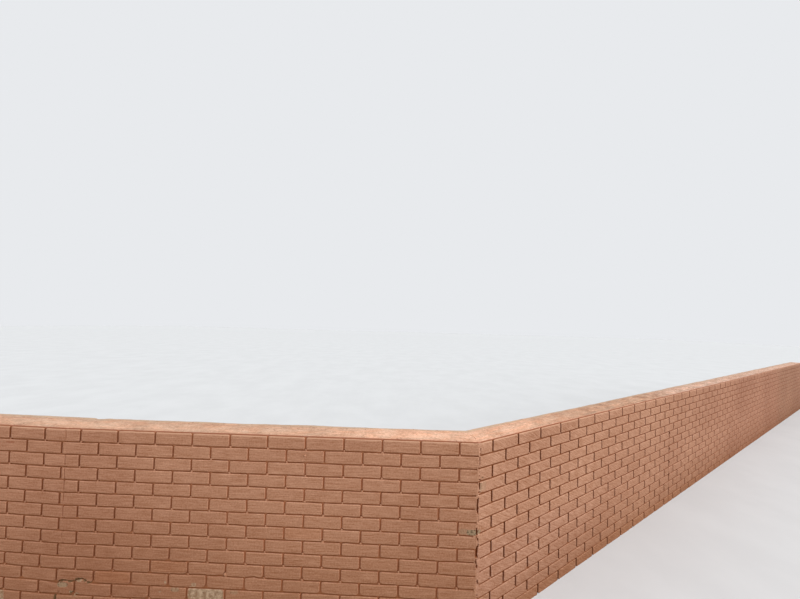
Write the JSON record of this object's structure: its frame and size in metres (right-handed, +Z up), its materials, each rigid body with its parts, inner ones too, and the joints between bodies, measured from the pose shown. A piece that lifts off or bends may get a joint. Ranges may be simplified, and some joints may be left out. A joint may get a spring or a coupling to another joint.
{
  "type": "brick garden wall",
  "caption": "Low painted brick garden wall with a smooth top, bent at a corner and running on in bays.",
  "frame": {"origin": "middle of the wall's plan box, at ground level", "axes": "+X along the left run, from the left end towards the corner; +Y from the outer face to the garden side; +Z up"},
  "size_m": [13.2618, 4.7132, 1.0135],
  "materials": {
    "brick_face": "matte masonry paint on brick faces",
    "core": "matte masonry paint in recessed joints",
    "capping": "trowelled, matte masonry paint",
    "seam": "rough painted mortar"
  },
  "bodies": {
    "root": {"left_core_2": "core", "left_core_1": "core", "right_core_1": "core", "right_core_2": "core", "right_core_3": "core", "right_core_4": "core", "left_outer_face_2": "brick_face", "left_outer_face_1": "brick_face", "right_outer_face_1": "brick_face", "right_outer_face_2": "brick_face", "right_outer_face_3": "brick_face", "right_outer_face_4": "brick_face", "left_inner_face_2": "brick_face", "left_inner_face_1": "brick_face", "right_inner_face_1": "brick_face", "right_inner_face_2": "brick_face", "right_inner_face_3": "brick_face", "right_inner_face_4": "brick_face", "left_cap_2": "capping", "left_cap_1": "capping", "right_cap_1": "capping", "right_cap_2": "capping", "right_cap_3": "capping", "right_cap_4": "capping", "left_seam": "seam", "corner_seam": "seam", "right_seam_1": "seam", "right_seam_2": "seam", "right_seam_3": "seam", "left_end_face": "brick_face", "right_end_face": "brick_face"}
  },
  "joints": []
}
